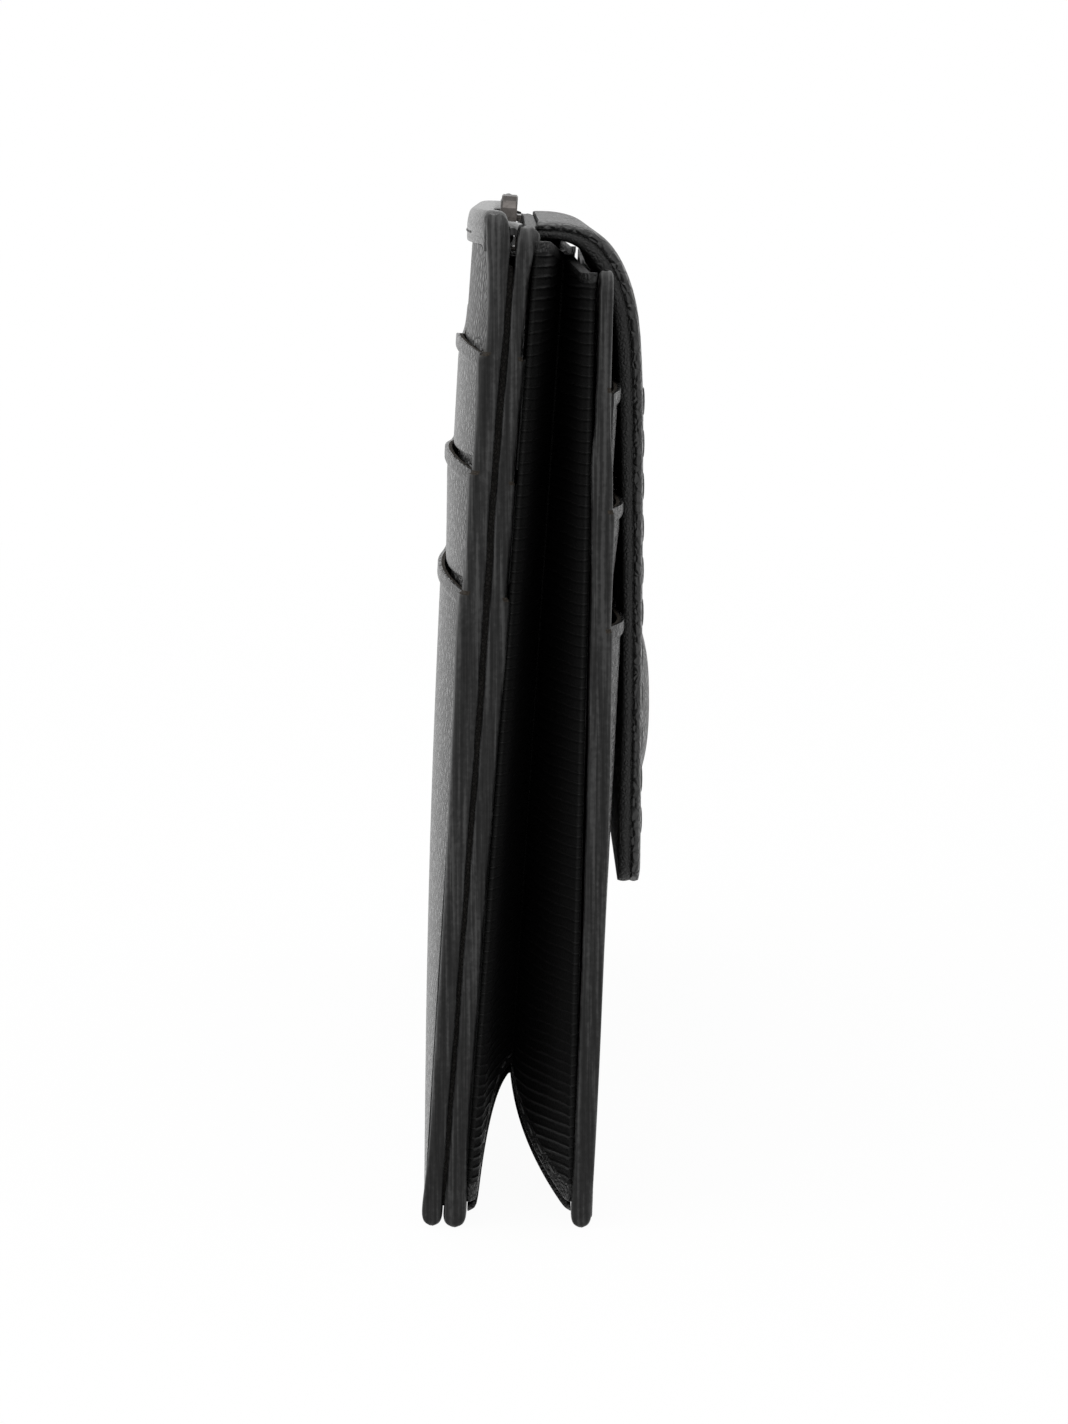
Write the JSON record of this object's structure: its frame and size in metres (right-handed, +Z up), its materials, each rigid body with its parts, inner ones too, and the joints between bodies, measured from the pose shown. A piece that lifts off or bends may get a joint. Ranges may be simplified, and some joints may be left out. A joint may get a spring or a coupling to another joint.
{
  "type": "credit card holder",
  "caption": "Slim upright leather card holder with stepped card pockets, folded side and bottom gussets, a zipped rear pocket and a snap flap over the mouth.",
  "frame": {"origin": "bottom centre of the bounding box, on the surface the holder stands on", "axes": "+X along the width of the holder, +Y towards the rear wall, away from the flap, +Z up"},
  "size_m": [0.1052, 0.0203, 0.0828],
  "materials": {
    "black_leather": "pebble grained, satin",
    "pocket_leather": "fine grained, satin, painted edges",
    "lining_leather": "smooth, matte",
    "ribbed_cloth": "ribbed",
    "zip_tape": "woven",
    "board": "matte",
    "coil": "satin",
    "zip_metal": "polished, darkened",
    "snap_metal": "satin"
  },
  "bodies": {
    "rear_wall": {"inner_panel": "black_leather", "rear_panel": "black_leather", "rear_slot_upper": "pocket_leather", "rear_slot_middle": "pocket_leather", "rear_slot_lower": "pocket_leather", "inner_slot_upper": "pocket_leather", "inner_slot_middle": "pocket_leather", "inner_slot_lower": "pocket_leather", "pocket_welt": "lining_leather", "rear_binding": "black_leather", "zip_tape_front": "zip_tape", "zip_tape_rear": "zip_tape", "zip_chain": "coil", "zip_end_near": "black_leather", "zip_end_far": "black_leather", "gusset_near": "ribbed_cloth", "gusset_far": "ribbed_cloth", "gusset_bottom": "black_leather"},
    "flap": {"flap_cover": "black_leather", "flap_stiffener": "board", "flap_lining": "lining_leather", "snap_cap": "snap_metal", "snap_socket": "snap_metal"},
    "front_wall": {"front_panel": "black_leather", "front_slip_pocket": "pocket_leather", "front_slot_upper": "pocket_leather", "front_slot_middle": "pocket_leather", "front_slot_lower": "pocket_leather", "snap_stud": "snap_metal"},
    "slider": {"zip_slider": "zip_metal"},
    "pull": {"zip_pull": "zip_metal"}
  },
  "joints": [
    {"name": "flap_hinge", "type": "hinge", "parent": "rear_wall", "child": "flap", "pos_m": [0, 0.001, 0.0819], "axis": [-1, 0, 0], "range_deg": [0, 105]},
    {"name": "front_swing", "type": "hinge", "parent": "rear_wall", "child": "front_wall", "pos_m": [0, -0.0035, 0], "axis": [1, 0, 0], "range_deg": [0, 12], "deforming": ["gusset_near", "gusset_far", "gusset_bottom"]},
    {"name": "zip_slide", "type": "slide", "parent": "rear_wall", "child": "slider", "axis": [1, 0, 0], "range_m": [0, 0.0742]},
    {"name": "pull_hinge", "type": "hinge", "parent": "slider", "child": "pull", "pos_m": [-0.0388, 0.00289, 0.0809], "axis": [0, -0.9974, -0.0724], "range_deg": [0, 160]}
  ],
  "couplings": [
    {"joint": "front_swing", "follows": "flap_hinge", "ratio": 0.11}
  ]
}
